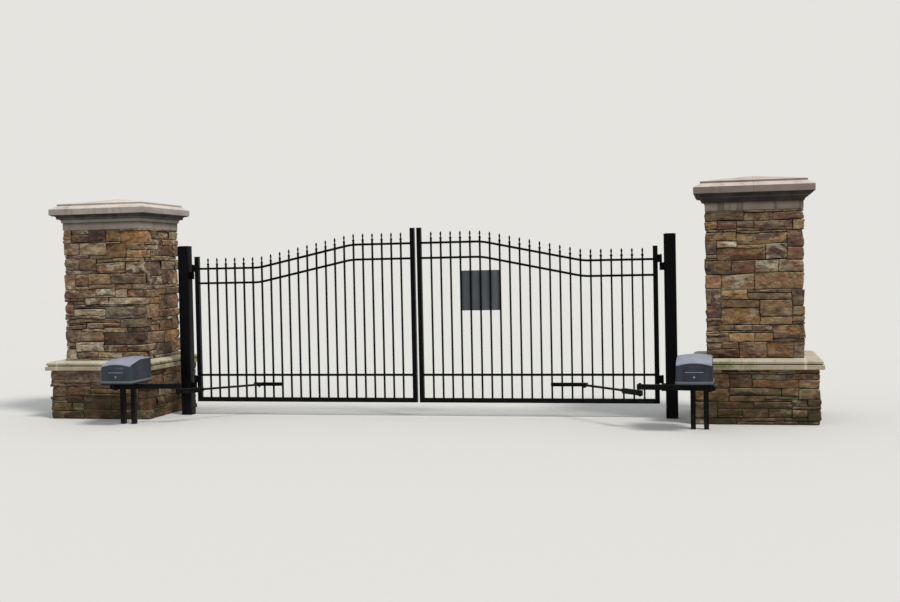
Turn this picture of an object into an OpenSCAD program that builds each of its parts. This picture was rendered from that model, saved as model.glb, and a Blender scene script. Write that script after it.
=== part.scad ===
// Double swing driveway gate between two masonry piers.
// Everything on one side is drawn once, to the right of the gate's centre line,
// and mirrored for the left side. Z = 0 is the level that the posts stand on.

/* [Leaf] */
// Number of pickets in one leaf
picket_count = 22; // [16:1:24]
// Centre distance between pickets
picket_pitch = 114.3; // [100:0.1:120]
// Side of a square picket
picket_size = 19; // [16:1:25]
// Side of the square stiles and of the bottom rail
stile_size = 50.8; // [45:0.1:60]
// Side of the square upper rails
rail_size = 25.4; // [22:0.1:32]
// Stile centre to the nearest picket centre
stile_to_picket = 140; // [120:1:160]
// Gap between the two meeting stiles
leaf_gap = 29.2; // [20:0.1:40]
// Height of the bottom rail's centre
bottom_rail_z = 185; // [150:1:220]
// Height of the lower rail's centre
lower_rail_z = 478; // [400:1:560]
// Height of the top rail's centre at the hinge end
top_rail_z = 1755; // [1700:1:1850]
// Centre distance between the top rail and the rail under it
double_rail_gap = 174; // [150:1:200]
// Rise of the two upper rails from the hinge end to the meeting end
rail_rise = 243; // [200:1:300]
// Bend radius of the two upper rails
rail_bend_r = 735; // [600:5:1300]
// Level stretch of the upper rails beside the hinge stile, in pitches
hinge_flat_pitches = 6.05; // [5:0.05:7]
// Level stretch of the upper rails beside the meeting stile, in pitches
meeting_flat_pitches = 5.55; // [5:0.05:7]

/* [Finials] */
// Height of a picket above the top rail's centre
picket_over = 37; // [30:1:60]
// Radius of the lower bead
bead_r = 16; // [14:0.5:18]
// Radius of the neck
neck_r = 7.5; // [5:0.5:8]
// Radius of the bulb
bulb_r = 11; // [10:0.5:17]
// Height of a finial
finial_h = 93; // [85:1:100]

/* [Hinges and posts] */
// Side of a square hinge post
post_size = 127; // [100:1:150]
// Height of a hinge post under its cap
post_h = 2022; // [1950:1:2100]
// Gap between the hinge stile and the post
post_gap = 70; // [68:0.5:80]
// Hinge axis to the hinge stile's face
hinge_offset = 33; // [30:0.5:36]
// Radius of a hinge barrel
barrel_r = 14; // [12:0.5:16]
// Length of one hinge barrel
barrel_h = 86; // [70:1:110]
// Radius of the hinge pins
pin_r = 8; // [6:0.5:9]

/* [Piers] */
// Gate centre line to a pier's centre
pier_x = 3770; // [3760:5:3900]
// How far a pier's centre stands behind the gate line
pier_y = 120; // [0:10:200]
// Side of the square shaft
shaft_w = 1016; // [960:1:1020]
// Side of the square plinth
plinth_w = 1290; // [1200:10:1300]
// Height of the plinth
plinth_h = 578; // [400:1:600]
// Side of the ledge on the plinth
ledge_w = 1370; // [1340:10:1400]
// Height of the ledge
ledge_h = 107; // [100:1:145]
// Height of the stone shaft
shaft_h = 1563; // [1400:1:1650]
// Height of the smooth band under the cap
neck_h = 88; // [80:1:120]
// Side of the cap
cap_w = 1236; // [1200:2:1260]
// Rise of the cap's hipped top
hip_h = 74; // [50:1:100]

/* [Operators] */
// Gate centre line to the operator's output shaft
crank_x = 3298; // [3280:1:3300]
// Distance of the output shaft in front of the gate line
crank_y = 992; // [980:1:1010]
// Length of the crank arm between its centres
crank_length = 718; // [710:1:725]
// Length of the link arm between its centres
link_length = 1024; // [1015:1:1035]
// Gate centre line to the pin of the bracket on the leaf
bracket_x = 1928; // [1910:1:1940]
// Distance of that pin in front of the leaf's centre plane
bracket_y = 85; // [80:1:95]
// Gate centre line to the two ends of the bracket bar across the left leaf's pickets
left_bar_ends = [1656, 2018]; // [1500:1:2100]
// Gate centre line to the two ends of the bracket bar across the right leaf's pickets
right_bar_ends = [1542, 1958]; // [1500:1:2100]
// Width of the operator's cover
cover_w = 370; // [340:5:400]
// Depth of the operator's cover
cover_d = 500; // [450:5:520]
// Height of the cover's lid at the back
cover_h = 274; // [260:2:290]
// Height of the cover's front at its middle
cover_front_h = 218; // [200:2:240]

/* [Sign plate] */
// Side of the square plate on the right leaf
sign_size = 457; // [400:1:480]
// Height of the plate's lower edge
sign_z = 1214; // [1100:1:1300]

/* [Hidden] */
SIDES = ["left", "right"];
PIECES = ["post", "post_cap", "post_hinges", "pier_plinth", "pier_ledge", "pier_shaft", "pier_neck",
    "pier_cap", "operator_pedestal", "operator_base", "operator_cover", "hinge_stile", "meeting_stile",
    "bottom_rail", "picket_panel", "finials", "leaf_hinges", "arm_bracket", "crank_arm", "link_arm"];
$fn = 48;
clear = 0.05;

STEEL = [0.07, 0.07, 0.08];
STONE = [0.62, 0.50, 0.38];
CAST_STONE = [0.66, 0.61, 0.54];
COVER_GREY = [0.27, 0.29, 0.33];

// Places along the leaf, from the gate's centre line
meeting_stile_x = leaf_gap / 2 + stile_size / 2;
first_picket_x = meeting_stile_x + stile_to_picket;
last_picket_x = first_picket_x + (picket_count - 1) * picket_pitch;
hinge_stile_x = last_picket_x + stile_to_picket;
leaf_inner_x = meeting_stile_x + stile_size / 2;
leaf_outer_x = hinge_stile_x - stile_size / 2;
stile_face_x = hinge_stile_x + stile_size / 2;
hinge_x = stile_face_x + hinge_offset;
post_face_x = stile_face_x + post_gap;
post_x = post_face_x + post_size / 2;

// Reverse curve of the upper rails: an arc, a straight and an arc
rise_start_x = leaf_outer_x - hinge_flat_pitches * picket_pitch;
rise_end_x = leaf_inner_x + meeting_flat_pitches * picket_pitch;
rise_run = rise_start_x - rise_end_x;
centres_apart = norm([rise_run, 2 * rail_bend_r - rail_rise]);
bend_angle = atan2(rise_run, 2 * rail_bend_r - rail_rise) - acos(2 * rail_bend_r / centres_apart);
bend_run = rail_bend_r * sin(bend_angle);
bend_rise = rail_bend_r * (1 - cos(bend_angle));
bend_steps = 8;

// Height gained by the upper rails at a distance u past the start of the curve
function curve_gain(u) =
    u <= 0 ? 0 :
    u < bend_run ? rail_bend_r - sqrt(pow(rail_bend_r, 2) - pow(u, 2)) :
    u <= rise_run - bend_run ? bend_rise + (u - bend_run) * tan(bend_angle) :
    u < rise_run ? rail_rise - rail_bend_r + sqrt(pow(rail_bend_r, 2) - pow(rise_run - u, 2)) :
    rail_rise;

// Points of a curved rail's edge, offset from its centre line along the normal
function curve_edge(offset) = concat(
    [[leaf_outer_x, offset]],
    [for (i = [0:bend_steps]) let (a = i * bend_angle / bend_steps)
        [rise_start_x - (rail_bend_r - offset) * sin(a), rail_bend_r - (rail_bend_r - offset) * cos(a)]],
    [for (i = [bend_steps:-1:0]) let (a = i * bend_angle / bend_steps)
        [rise_end_x + (rail_bend_r + offset) * sin(a),
            rail_rise - rail_bend_r + (rail_bend_r + offset) * cos(a)]],
    [[leaf_inner_x, rail_rise + offset]]);
function reversed(v) = [for (i = [len(v) - 1:-1:0]) v[i]];

function picket_x(i) = first_picket_x + i * picket_pitch;
function picket_top(x) = top_rail_z + curve_gain(rise_start_x - x) + picket_over;

// Closed position of the arm's elbow: where the circles about the shaft and the bracket pin meet
shaft_place = [crank_x, -crank_y];
pin_place = [bracket_x, -bracket_y];
arm_span = norm(pin_place - shaft_place);
arm_foot = (pow(crank_length, 2) - pow(link_length, 2) + pow(arm_span, 2)) / (2 * arm_span);
arm_height = sqrt(pow(crank_length, 2) - pow(arm_foot, 2));
arm_dir = (pin_place - shaft_place) / arm_span;
elbow_place = shaft_place + arm_foot * arm_dir + arm_height * [-arm_dir[1], arm_dir[0]];
crank_angle = atan2(elbow_place[1] - shaft_place[1], elbow_place[0] - shaft_place[0]);
link_angle = atan2(elbow_place[1] - pin_place[1], elbow_place[0] - pin_place[0]);

// Heights of the operator's layers
link_z = 370;
crank_z0 = 402;
crank_h = 56;
base_z = 478;
base_t = 12;
cover_z = base_z + base_t;
cover_x = 3155;
cover_front_y = -1250;
leg_x = [3130, 3262];
leg_y = -895;
leg_size = 50.8;

// Hinge barrels: the leaf's own stand on the post's own
lower_hinge_z = 384;
upper_hinge_z = 1718;
barrel_gap = 1;

pier_z1 = plinth_h + ledge_h;
pier_z2 = pier_z1 + shaft_h;
pier_z3 = pier_z2 + neck_h;

module on_side(side) {
    if (side == "left") mirror([1, 0, 0]) children();
    else children();
}

// Square bar on end, centred on x and y
module upright(x, y, size, z0, z1) {
    translate([x - size / 2, y - size / 2, z0]) cube([size, size, z1 - z0]);
}

module post() {
    color(STEEL) upright(post_x, 0, post_size, 0, post_h);
}

// Pressed cap with a low crown
module post_cap() {
    over = 3;
    rim_h = 8;
    crown_in = 15;
    crown_h = 4;
    color(STEEL) {
        tube_cap(post_x, post_size, post_h, over, rim_h);
        tube_cap(post_x, post_size, post_h + rim_h, -crown_in, crown_h);
    }
}

// The post's barrel with its lug, and the pin that the leaf's barrel turns on
module post_knuckle(z_top) {
    lug_t = 18;
    pin_over = 5;
    z0 = z_top - barrel_h;
    translate([hinge_x, 0, z0]) cylinder(r = barrel_r, h = barrel_h);
    translate([hinge_x, -lug_t / 2, z0]) cube([post_face_x - hinge_x, lug_t, barrel_h]);
    translate([hinge_x, 0, z_top]) cylinder(r = pin_r, h = barrel_gap + barrel_h + pin_over);
}

module post_hinges() {
    color(STEEL) {
        post_knuckle(lower_hinge_z);
        post_knuckle(upper_hinge_z);
    }
}

// The leaf's barrel with its weld lug, bored for the pin
module leaf_knuckle(z_bottom) {
    lug_t = 16;
    difference() {
        union() {
            translate([hinge_x, 0, z_bottom]) cylinder(r = barrel_r, h = barrel_h);
            translate([stile_face_x, -lug_t / 2, z_bottom]) cube([hinge_offset, lug_t, barrel_h]);
        }
        translate([hinge_x, 0, z_bottom - 1]) cylinder(r = pin_r + clear, h = barrel_h + 2);
    }
}

module leaf_hinges() {
    color(STEEL) {
        leaf_knuckle(lower_hinge_z + barrel_gap);
        leaf_knuckle(upper_hinge_z + barrel_gap);
    }
}

// Thin flat cap welded on the open end of a square tube
module tube_cap(x, size, z, over, thick) {
    upright(x, 0, size + 2 * over, z, z + thick);
}

// Square tube from the foot of the bottom rail up to its cap
module stile(x, top) {
    color(STEEL) {
        upright(x, 0, stile_size, bottom_rail_z - stile_size / 2, top);
        tube_cap(x, stile_size, top, 1.5, 4);
    }
}

module hinge_stile() {
    over_rail = 143;
    stile(hinge_stile_x, top_rail_z + over_rail);
}

module meeting_stile() {
    over_rail = 172;
    stile(meeting_stile_x, top_rail_z + rail_rise + over_rail);
}

module bottom_rail() {
    color(STEEL) translate([leaf_inner_x, -stile_size / 2, bottom_rail_z - stile_size / 2])
        cube([leaf_outer_x - leaf_inner_x, stile_size, stile_size]);
}

// Reverse-curved rail, its level end at height z
module curved_rail(z) {
    translate([0, rail_size / 2, z]) rotate([90, 0, 0]) linear_extrude(rail_size)
        polygon(concat(curve_edge(-rail_size / 2), reversed(curve_edge(rail_size / 2))));
}

module picket_panel() {
    color(STEEL) union() {
        translate([leaf_inner_x, -rail_size / 2, lower_rail_z - rail_size / 2])
            cube([leaf_outer_x - leaf_inner_x, rail_size, rail_size]);
        curved_rail(top_rail_z);
        curved_rail(top_rail_z - double_rail_gap);
        for (i = [0:picket_count - 1]) {
            x = picket_x(i);
            upright(x, 0, picket_size, bottom_rail_z + stile_size / 2, picket_top(x));
        }
    }
}

// Turned finial: a foot, a bead, a neck, a bulb and a point
module finial() {
    bead_z = 14;
    bulb_z = 64;
    rotate_extrude($fn = 24) polygon(concat(
        [[0, 0], [12, 0], [12, 3]],
        [for (a = [-40:40:40]) [bead_r * cos(a), bead_z + 11 * sin(a)]],
        [[neck_r + 1, 27], [neck_r, 38], [neck_r + 1, 46]],
        [for (a = [-40:40:40]) [bulb_r * cos(a), bulb_z + 15 * sin(a)]],
        [[4.5, finial_h - 8], [0, finial_h]]));
}

module finials() {
    color(STEEL) for (i = [0:picket_count - 1])
        translate([picket_x(i), 0, picket_top(picket_x(i))]) finial();
}

module sign_plate() {
    color(COVER_GREY) translate([picket_x(3) - 1, picket_size / 2, sign_z]) cube([sign_size, 3, sign_size]);
}

// Flat bar welded across the pickets, with two lugs and the pin of the link arm
module arm_bracket(bar_ends) {
    bar = [bar_ends[1] - bar_ends[0], 26, 42];
    lug_w = 56;
    lug_t = 9;
    eye_t = 16;
    slack = 1;
    color(STEEL) union() {
        translate([bar_ends[0], -picket_size / 2 - bar[1], link_z - bar[2] / 2]) cube(bar);
        for (z = [link_z - eye_t / 2 - slack - lug_t, link_z + eye_t / 2 + slack]) {
            translate([bracket_x - lug_w / 2, -bracket_y, z])
                cube([lug_w, bracket_y - picket_size / 2 - bar[1], lug_t]);
            translate([bracket_x, -bracket_y, z]) cylinder(r = lug_w / 2, h = lug_t);
        }
        translate([bracket_x, -bracket_y, link_z - 26]) cylinder(r = 8, h = 52);
        translate([bracket_x, -bracket_y, link_z + 18]) cylinder(r = 13, h = 9, $fn = 6);
        translate([bracket_x, -bracket_y, link_z - 30]) cylinder(r = 13, h = 12, $fn = 6);
    }
}

// Deep bar with a split clamping hub at the output shaft and a rounded end at the elbow
module crank_arm() {
    hub_r = 42;
    shaft_r = 15;
    bar_w = 34;
    slit = 5;
    ear = [36, 44, 44];
    elbow_r = 32;
    color(STEEL) translate([crank_x, -crank_y, crank_z0]) rotate([0, 0, crank_angle]) {
        difference() {
            union() {
                cylinder(r = hub_r, h = crank_h);
                translate([-hub_r - ear[0] / 2, -ear[1] / 2, (crank_h - ear[2]) / 2]) cube(ear);
            }
            translate([-hub_r - ear[0], -slit / 2, -1]) cube([ear[0] + hub_r - shaft_r - 5, slit, crank_h + 2]);
        }
        translate([0, -bar_w / 2, 0]) cube([crank_length, bar_w, crank_h]);
        translate([crank_length, 0, 0]) cylinder(r = elbow_r, h = crank_h);
        cylinder(r = shaft_r, h = base_z - crank_z0 + base_t - 2);
        translate([0, 0, -10]) cylinder(r = 22, h = 10, $fn = 6);
        for (z = [crank_h / 3, 2 * crank_h / 3]) translate([-hub_r - ear[0] / 8, ear[1] / 2 + 7, z])
            rotate([90, 0, 0]) cylinder(r = 7, h = ear[1] + 14, $fn = 6);
        translate([crank_length, 0, crank_h]) cylinder(r = 15, h = 12, $fn = 6);
    }
}

// Flat eye at the leaf's bracket, a round rod with its lock nut, and a deep fork end under the elbow
module link_arm() {
    eye_r = 24;
    eye_t = 16;
    neck_l = 90;
    rod_r = 13;
    fork_l = 290;
    fork_h = 54;
    fork_w = 40;
    fork_top = 24;
    end_r = 30;
    color(STEEL) translate([bracket_x, -bracket_y, link_z]) rotate([0, 0, link_angle]) difference() {
        union() {
            translate([0, 0, -eye_t / 2]) cylinder(r = eye_r, h = eye_t);
            translate([0, -eye_r + 4, -eye_t / 2]) cube([neck_l, 2 * eye_r - 8, eye_t]);
            translate([neck_l - 20, 0, 0]) rotate([0, 90, 0])
                cylinder(r = rod_r, h = link_length - fork_l - neck_l + 30);
            translate([link_length - fork_l - 20, 0, 0]) rotate([0, 90, 0]) cylinder(r = 23, h = 20, $fn = 6);
            translate([link_length - fork_l, -fork_w / 2, fork_top - fork_h]) cube([fork_l, fork_w, fork_h]);
            translate([link_length, 0, fork_top - fork_h]) cylinder(r = end_r, h = fork_h);
            translate([link_length, 0, fork_top - fork_h - 10]) cylinder(r = 15, h = 10, $fn = 6);
        }
        translate([0, 0, -eye_t]) cylinder(r = 8 + clear, h = 2 * eye_t);
    }
}

// Two square legs that stand up into a channel under the base plate, open to the back
module operator_pedestal() {
    channel = [leg_x[1] - leg_x[0] + 110, 84, 75];
    wall = 8;
    x0 = leg_x[0] - 50;
    y0 = leg_y - leg_size / 2 - 1;
    z0 = base_z - channel[2];
    color(STEEL) union() {
        for (x = leg_x) upright(x, leg_y, leg_size, 0, base_z - wall / 2);
        difference() {
            translate([x0, y0, z0]) cube(channel);
            translate([x0 - 1, y0 + wall, z0 + wall])
                cube([channel[0] + 2, channel[1], channel[2] - 2 * wall]);
        }
    }
}

// Rectangle with rounded corners, centred in x, with its front edge at y = 0
module rounded_plan(w, d, r) {
    translate([r - w / 2, 0]) square([w - 2 * r, d]);
    translate([-w / 2, r]) square([w, d - 2 * r]);
    for (x = [-1, 1]) for (y = [r, d - r]) translate([x * (w / 2 - r), y]) circle(r = r);
}

module operator_base() {
    over = 4;
    color(STEEL) difference() {
        translate([cover_x, cover_front_y - over, base_z]) linear_extrude(base_t)
            rounded_plan(cover_w + 2 * over, cover_d + 2 * over, 16);
        translate([crank_x, -crank_y, base_z - 1]) cylinder(r = 15 + clear, h = base_t + 2);
    }
}

// Space under one arched face of the lid, which climbs at an angle past a point on its middle line
module lid_face(tilt, y, z) {
    arch_r = 900;
    reach = 2 * cover_d;
    translate([0, y, z]) rotate([tilt, 0, 0]) translate([0, -reach, -arch_r])
        rotate([-90, 0, 0]) cylinder(r = arch_r, h = 2 * reach, $fn = 180);
}

// Moulded hood: sides with draft, an arched lid that climbs to the back, and a lip round the foot
module cover_hood() {
    lid_run = 240;
    draft = 10;
    corner_r = 22;
    bevel = 50;
    bevel_drop = 7;
    intersection() {
        linear_extrude(cover_h) rounded_plan(cover_w, cover_d, corner_r);
        translate([0, cover_d + 1, 0]) rotate([90, 0, 0]) linear_extrude(cover_d + 2)
            polygon([[-cover_w / 2, 0], [cover_w / 2, 0],
                [cover_w / 2 - draft, cover_h], [draft - cover_w / 2, cover_h]]);
        lid_face(0, 0, cover_h);
        lid_face(atan2(cover_h - cover_front_h, lid_run), 0, cover_front_h);
        lid_face(bevel, 0, cover_front_h - bevel_drop);
        lid_face(-bevel, cover_d, cover_h - 2 * bevel_drop);
    }
}

module operator_cover() {
    lip_h = 28;
    lip_out = 3;
    panel = [190, 3, 150];
    slot = [176, 12, 9];
    slot_z = 118;
    lock_z = 74;
    color(COVER_GREY) translate([cover_x, cover_front_y, cover_z]) difference() {
        union() {
            cover_hood();
            translate([0, -lip_out, 0]) linear_extrude(lip_h)
                rounded_plan(cover_w + 2 * lip_out, cover_d + 2 * lip_out, 25);
            translate([-panel[0] / 2, -panel[1], lip_h]) cube([panel[0], 2 * panel[1], panel[2]]);
            translate([0, 1, lock_z]) rotate([90, 0, 0]) cylinder(r = 11, h = 8);
        }
        translate([-slot[0] / 2, -panel[1] - 1, slot_z]) cube(slot);
        translate([0, -panel[1] - 1, lock_z]) rotate([90, 0, 0]) cylinder(r = 5, h = 5);
    }
}

// Square slab of a pier, centred on the pier
module course(width, z0, height) {
    translate([pier_x - width / 2, pier_y - width / 2, z0]) cube([width, width, height]);
}

module pier_plinth() {
    color(STONE) course(plinth_w, 0, plinth_h);
}

// Section of a square moulding from one side's line of [half width, height] points
function both_sides(line) = concat(line, [for (p = reversed(line)) [-p[0], p[1]]]);

// Square moulding with mitred corners: its section run along both sides of the pier
module square_moulding(z, reach) {
    translate([pier_x, pier_y, z]) intersection() {
        translate([0, reach, 0]) rotate([90, 0, 0]) linear_extrude(2 * reach) children();
        translate([-reach, 0, 0]) rotate([90, 0, 90]) linear_extrude(2 * reach) children();
    }
}

// Band, sunk groove and weathered upper member
module pier_ledge() {
    half = ledge_w / 2;
    band_h = 47;
    groove_h = 13;
    groove_in = 26;
    member_in = 12;
    wash_in = 56;
    color(CAST_STONE) square_moulding(plinth_h, ledge_w) polygon(both_sides([
        [half - 5, 0], [half, 5], [half, band_h - 4], [half - 4, band_h],
        [half - groove_in, band_h], [half - groove_in, band_h + groove_h],
        [half - member_in, band_h + groove_h], [half - member_in, ledge_h - 26],
        [half - member_in - 7, ledge_h - 15], [half - wash_in, ledge_h]]));
}

module pier_shaft() {
    color(STONE) course(shaft_w, pier_z1, shaft_h);
}

module pier_neck() {
    color(CAST_STONE) course(shaft_w - 8, pier_z2, neck_h);
}

// Bed mould of two coves with a fillet between them, fascia, wash, riser and a low hipped top
module cap_section() {
    bed = shaft_w / 2 + 8;
    foot_h = 14;
    lower_r = 30;
    upper_r = 30;
    fillet_out = 40;
    fillet_z = 54;
    soffit_out = 84;
    fascia_z = 92;
    fascia_h = 70;
    wash_h = 40;
    wash_in = 70;
    riser_h = 22;
    top = fascia_z + fascia_h + wash_h + riser_h;
    half = cap_w / 2;
    difference() {
        polygon(both_sides([
            [bed, 0], [bed, foot_h], [bed + fillet_out, foot_h], [bed + fillet_out, fillet_z],
            [bed + soffit_out, fillet_z], [bed + soffit_out, fascia_z], [half, fascia_z],
            [half, fascia_z + fascia_h], [half - wash_in, fascia_z + fascia_h + wash_h],
            [half - wash_in, top], [15, top + hip_h]]));
        for (s = [-1, 1]) {
            translate([s * (bed + lower_r), foot_h]) circle(r = lower_r);
            translate([s * (bed + fillet_out + upper_r), fillet_z]) circle(r = upper_r);
        }
    }
}

module pier_cap() {
    color(CAST_STONE) square_moulding(pier_z3, cap_w) cap_section();
}

module piece(side, name) {
    translate([post_x, 0, 0]) on_side(side) {
        if (name == "post") post();
        if (name == "post_cap") post_cap();
        if (name == "post_hinges") post_hinges();
        if (name == "pier_plinth") pier_plinth();
        if (name == "pier_ledge") pier_ledge();
        if (name == "pier_shaft") pier_shaft();
        if (name == "pier_neck") pier_neck();
        if (name == "pier_cap") pier_cap();
        if (name == "operator_pedestal") operator_pedestal();
        if (name == "operator_base") operator_base();
        if (name == "operator_cover") operator_cover();
        if (name == "hinge_stile") hinge_stile();
        if (name == "meeting_stile") meeting_stile();
        if (name == "bottom_rail") bottom_rail();
        if (name == "picket_panel") picket_panel();
        if (name == "finials") finials();
        if (name == "leaf_hinges") leaf_hinges();
        if (name == "arm_bracket") arm_bracket(side == "left" ? left_bar_ends : right_bar_ends);
        if (name == "crank_arm") crank_arm();
        if (name == "link_arm") link_arm();
        if (name == "sign_plate") sign_plate();
    }
}

for (side = SIDES) for (name = PIECES)
    piece(side, name);
piece("right", "sign_plate");  // right_sign_plate
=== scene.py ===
import math

import bmesh
import bpy
import numpy as np
from mathutils import Matrix, Vector


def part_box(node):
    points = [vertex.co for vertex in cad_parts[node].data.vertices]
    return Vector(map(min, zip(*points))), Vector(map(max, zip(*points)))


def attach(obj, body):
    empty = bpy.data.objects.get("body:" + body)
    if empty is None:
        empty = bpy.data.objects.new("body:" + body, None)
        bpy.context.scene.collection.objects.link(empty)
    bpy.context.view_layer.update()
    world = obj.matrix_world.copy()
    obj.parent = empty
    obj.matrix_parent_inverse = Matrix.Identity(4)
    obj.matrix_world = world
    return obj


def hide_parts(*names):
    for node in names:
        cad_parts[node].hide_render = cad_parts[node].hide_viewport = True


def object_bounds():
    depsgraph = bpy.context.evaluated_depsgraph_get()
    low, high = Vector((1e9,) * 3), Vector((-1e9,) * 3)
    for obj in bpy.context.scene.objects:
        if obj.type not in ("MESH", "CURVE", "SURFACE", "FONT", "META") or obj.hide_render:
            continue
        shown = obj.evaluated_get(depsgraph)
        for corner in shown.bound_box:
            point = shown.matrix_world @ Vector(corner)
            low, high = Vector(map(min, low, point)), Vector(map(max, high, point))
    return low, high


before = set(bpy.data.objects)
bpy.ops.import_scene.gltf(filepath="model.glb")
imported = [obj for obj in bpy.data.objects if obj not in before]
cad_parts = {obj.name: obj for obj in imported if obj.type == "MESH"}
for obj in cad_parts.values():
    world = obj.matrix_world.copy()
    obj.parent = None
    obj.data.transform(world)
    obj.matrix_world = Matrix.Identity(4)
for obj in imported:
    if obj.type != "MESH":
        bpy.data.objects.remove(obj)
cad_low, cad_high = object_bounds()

# Ground, light and camera
# The gate stands on a plain pale studio floor, under an even sky and one broad soft sun from the
# right. The camera stands 13 m in front of it at eye height, a little right of the right post.


def linear(red, green, blue):
    """Colour as seen, 0 to 255, turned to the linear light that a shader takes."""
    seen = np.array([red, green, blue]) / 255.0
    light = np.where(seen <= 0.04045, seen / 12.92, ((seen + 0.055) / 1.055) ** 2.4)
    return (*light.tolist(), 1.0)


class Finish:
    """A material and the few steps that build its nodes. The steps that make a value or a colour
    return its socket, and the last three feed one to the shader."""

    def __init__(self, name, roughness, **sockets):
        self.material = bpy.data.materials.new(name)
        self.material.use_nodes = True
        self.tree = self.material.node_tree
        self.shader = self.tree.nodes["Principled BSDF"]
        self.shader.inputs["Roughness"].default_value = roughness
        for socket, value in sockets.items():
            self.shader.inputs[socket.replace("_", " ")].default_value = value
        self.place = self.node("TexCoord").outputs["Object"]

    def feed(self, socket, value):
        """Links a socket where the value comes from another node, and sets it otherwise."""
        if isinstance(value, bpy.types.NodeSocket):
            self.tree.links.new(value, socket)
        else:
            socket.default_value = value

    def node(self, kind, inputs=(), **settings):
        """One shader node with its settings, fed with the inputs."""
        made = self.tree.nodes.new("ShaderNode" + kind)
        for key, value in settings.items():
            setattr(made, key, value)
        for key, value in dict(inputs).items():
            self.feed(made.inputs[key], value)
        return made

    def noise(self, scale, stretch=(1, 1, 1), detail=4.0, roughness=0.55, shift=(0, 0, 0), warp=0.0):
        """Noise on the object's own metres; scale is in features per metre along an unstretched axis."""
        place = self.node("Mapping", {0: self.place, "Scale": stretch, "Location": shift}).outputs[0]
        inputs = {"Vector": place, "Scale": scale, "Detail": detail,
                  "Roughness": roughness, "Distortion": warp}
        return self.node("TexNoise", inputs).outputs["Fac"]

    def between(self, value, low, high, to_low=0.0, to_high=1.0):
        """Value from low to high carried smoothly onto to_low to to_high, and held at both ends."""
        inputs = {"Value": value, "From Min": low, "From Max": high, "To Min": to_low, "To Max": to_high}
        return self.node("MapRange", inputs, interpolation_type="SMOOTHSTEP").outputs["Result"]

    def maths(self, operation, a, b=0.0):
        """One step of arithmetic on two values."""
        return self.node("Math", {0: a, 1: b}, operation=operation).outputs[0]

    def times(self, product, *factors):
        """Product of all the values."""
        for factor in factors:
            product = self.maths("MULTIPLY", product, factor)
        return product

    def off_from(self, value, centre):
        """How far a value is from a centre, either way."""
        return self.maths("ABSOLUTE", self.maths("SUBTRACT", value, centre))

    def mixed(self, share, a, b, blend="MIX"):
        """Colour a with a share of colour b mixed in."""
        made = self.node("Mix", {"Factor": share}, data_type="RGBA", blend_type=blend)
        self.feed(made.inputs[6], a)
        self.feed(made.inputs[7], b)
        return made.outputs[2]

    def shaded(self, colour, light):
        """Colour times one value of light."""
        grey = self.node("CombineColor", {0: light, 1: light, 2: light}).outputs[0]
        return self.mixed(1.0, colour, grey, "MULTIPLY")

    def facing_up(self, low, high):
        """Share from 0 to 1 as the normal's upward part goes from low to high; a wall's is 0."""
        normal = self.node("NewGeometry").outputs["Normal"]
        return self.between(self.node("SeparateXYZ", {0: normal}).outputs["Z"], low, high)

    def height(self):
        """Height above the gate's foot in metres."""
        return self.node("SeparateXYZ", {0: self.place}).outputs["Z"]

    def colour(self, socket):
        self.feed(self.shader.inputs["Base Color"], socket)

    def rough(self, socket):
        self.feed(self.shader.inputs["Roughness"], socket)

    def bump(self, height, distance, strength=1.0):
        inputs = {"Height": height, "Distance": distance, "Strength": strength}
        self.feed(self.shader.inputs["Normal"], self.node("Bump", inputs).outputs["Normal"])


middle = (cad_low + cad_high) / 2
floor_reach, floor_level = 90.0, -0.001
floor_mesh = bpy.data.meshes.new("floor")
floor_corners = [(middle.x + x * floor_reach, middle.y + y * floor_reach, floor_level)
                 for x, y in ((-1, -1), (1, -1), (1, 1), (-1, 1))]
floor_mesh.from_pydata(floor_corners, [], [(0, 1, 2, 3)])
floor = bpy.data.objects.new("floor", floor_mesh)
bpy.context.scene.collection.objects.link(floor)
floor_finish = Finish("pale floor", 0.9)
floor_finish.colour(linear(214, 213, 210))
floor_mesh.materials.append(floor_finish.material)

world = bpy.data.worlds.new("studio sky")
bpy.context.scene.world = world
world.use_nodes = True
sky = world.node_tree
rays = sky.nodes.new("ShaderNodeLightPath")
shown = rays.outputs["Is Camera Ray"]
for ray in ("Is Glossy Ray", "Is Transmission Ray"):
    larger = sky.nodes.new("ShaderNodeMath")
    larger.operation = "MAXIMUM"
    sky.links.new(shown, larger.inputs[0])
    sky.links.new(rays.outputs[ray], larger.inputs[1])
    shown = larger.outputs[0]
light_sky = sky.nodes["Background"]
light_sky.inputs["Color"].default_value = (0.93, 0.97, 1.0, 1.0)
light_sky.inputs["Strength"].default_value = 0.62
seen_sky = sky.nodes.new("ShaderNodeBackground")
seen_sky.inputs["Color"].default_value = linear(229, 228, 224)
either = sky.nodes.new("ShaderNodeMixShader")
sky.links.new(shown, either.inputs[0])
sky.links.new(light_sky.outputs[0], either.inputs[1])
sky.links.new(seen_sky.outputs[0], either.inputs[2])
sky.links.new(either.outputs[0], sky.nodes["World Output"].inputs["Surface"])

sun_data = bpy.data.lights.new("soft sun", "SUN")
sun_data.energy = 2.3
sun_data.angle = math.radians(14)
sun_data.color = (1.0, 0.96, 0.9)
sun = bpy.data.objects.new("soft sun", sun_data)
bpy.context.scene.collection.objects.link(sun)
towards_sun = Vector((0.66, -0.42, 0.95))
sun.rotation_euler = towards_sun.to_track_quat("Z", "Y").to_euler()

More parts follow.
